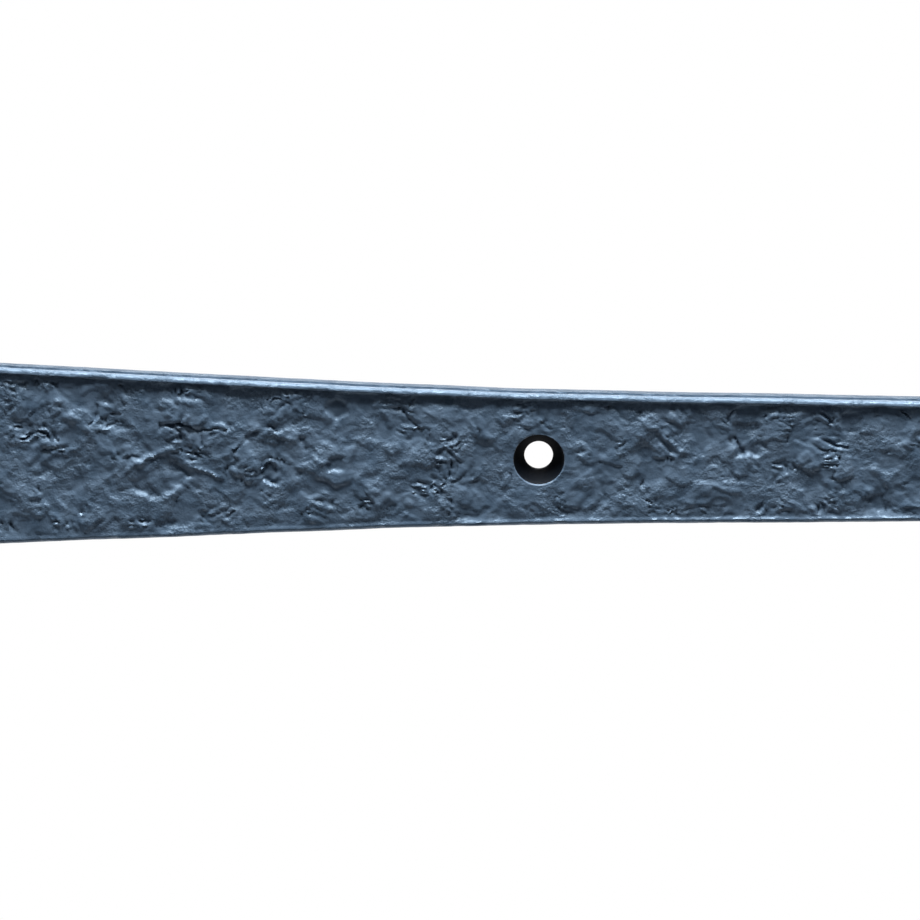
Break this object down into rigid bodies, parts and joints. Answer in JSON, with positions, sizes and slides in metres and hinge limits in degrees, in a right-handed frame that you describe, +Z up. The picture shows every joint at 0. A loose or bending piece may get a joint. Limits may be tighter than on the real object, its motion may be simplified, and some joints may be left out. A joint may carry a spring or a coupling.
{
  "type": "tee hinge",
  "caption": "Cast iron tee hinge: a long tapering strap with a crowned rough front swings on a riveted pin from a tall frame plate, with countersunk screw holes.",
  "frame": {"origin": "on the back plane of both leaves, behind the middle of the pin", "axes": "+X along the strap to its tip, +Y into the door and frame, +Z up along the pin"},
  "size_m": [0.5034, 0.0153, 0.15],
  "materials": {
    "black_iron": "rough cast, satin black",
    "pin_steel": "satin black"
  },
  "bodies": {
    "plate": {"frame_plate": "black_iron", "hinge_pin": "pin_steel"},
    "strap": {"strap_leaf": "black_iron"}
  },
  "joints": [
    {"name": "strap_swing", "type": "hinge", "parent": "plate", "child": "strap", "pos_m": [0, -0.0078, 0], "axis": [0, 0, -1], "range_deg": [-90, 180]}
  ]
}
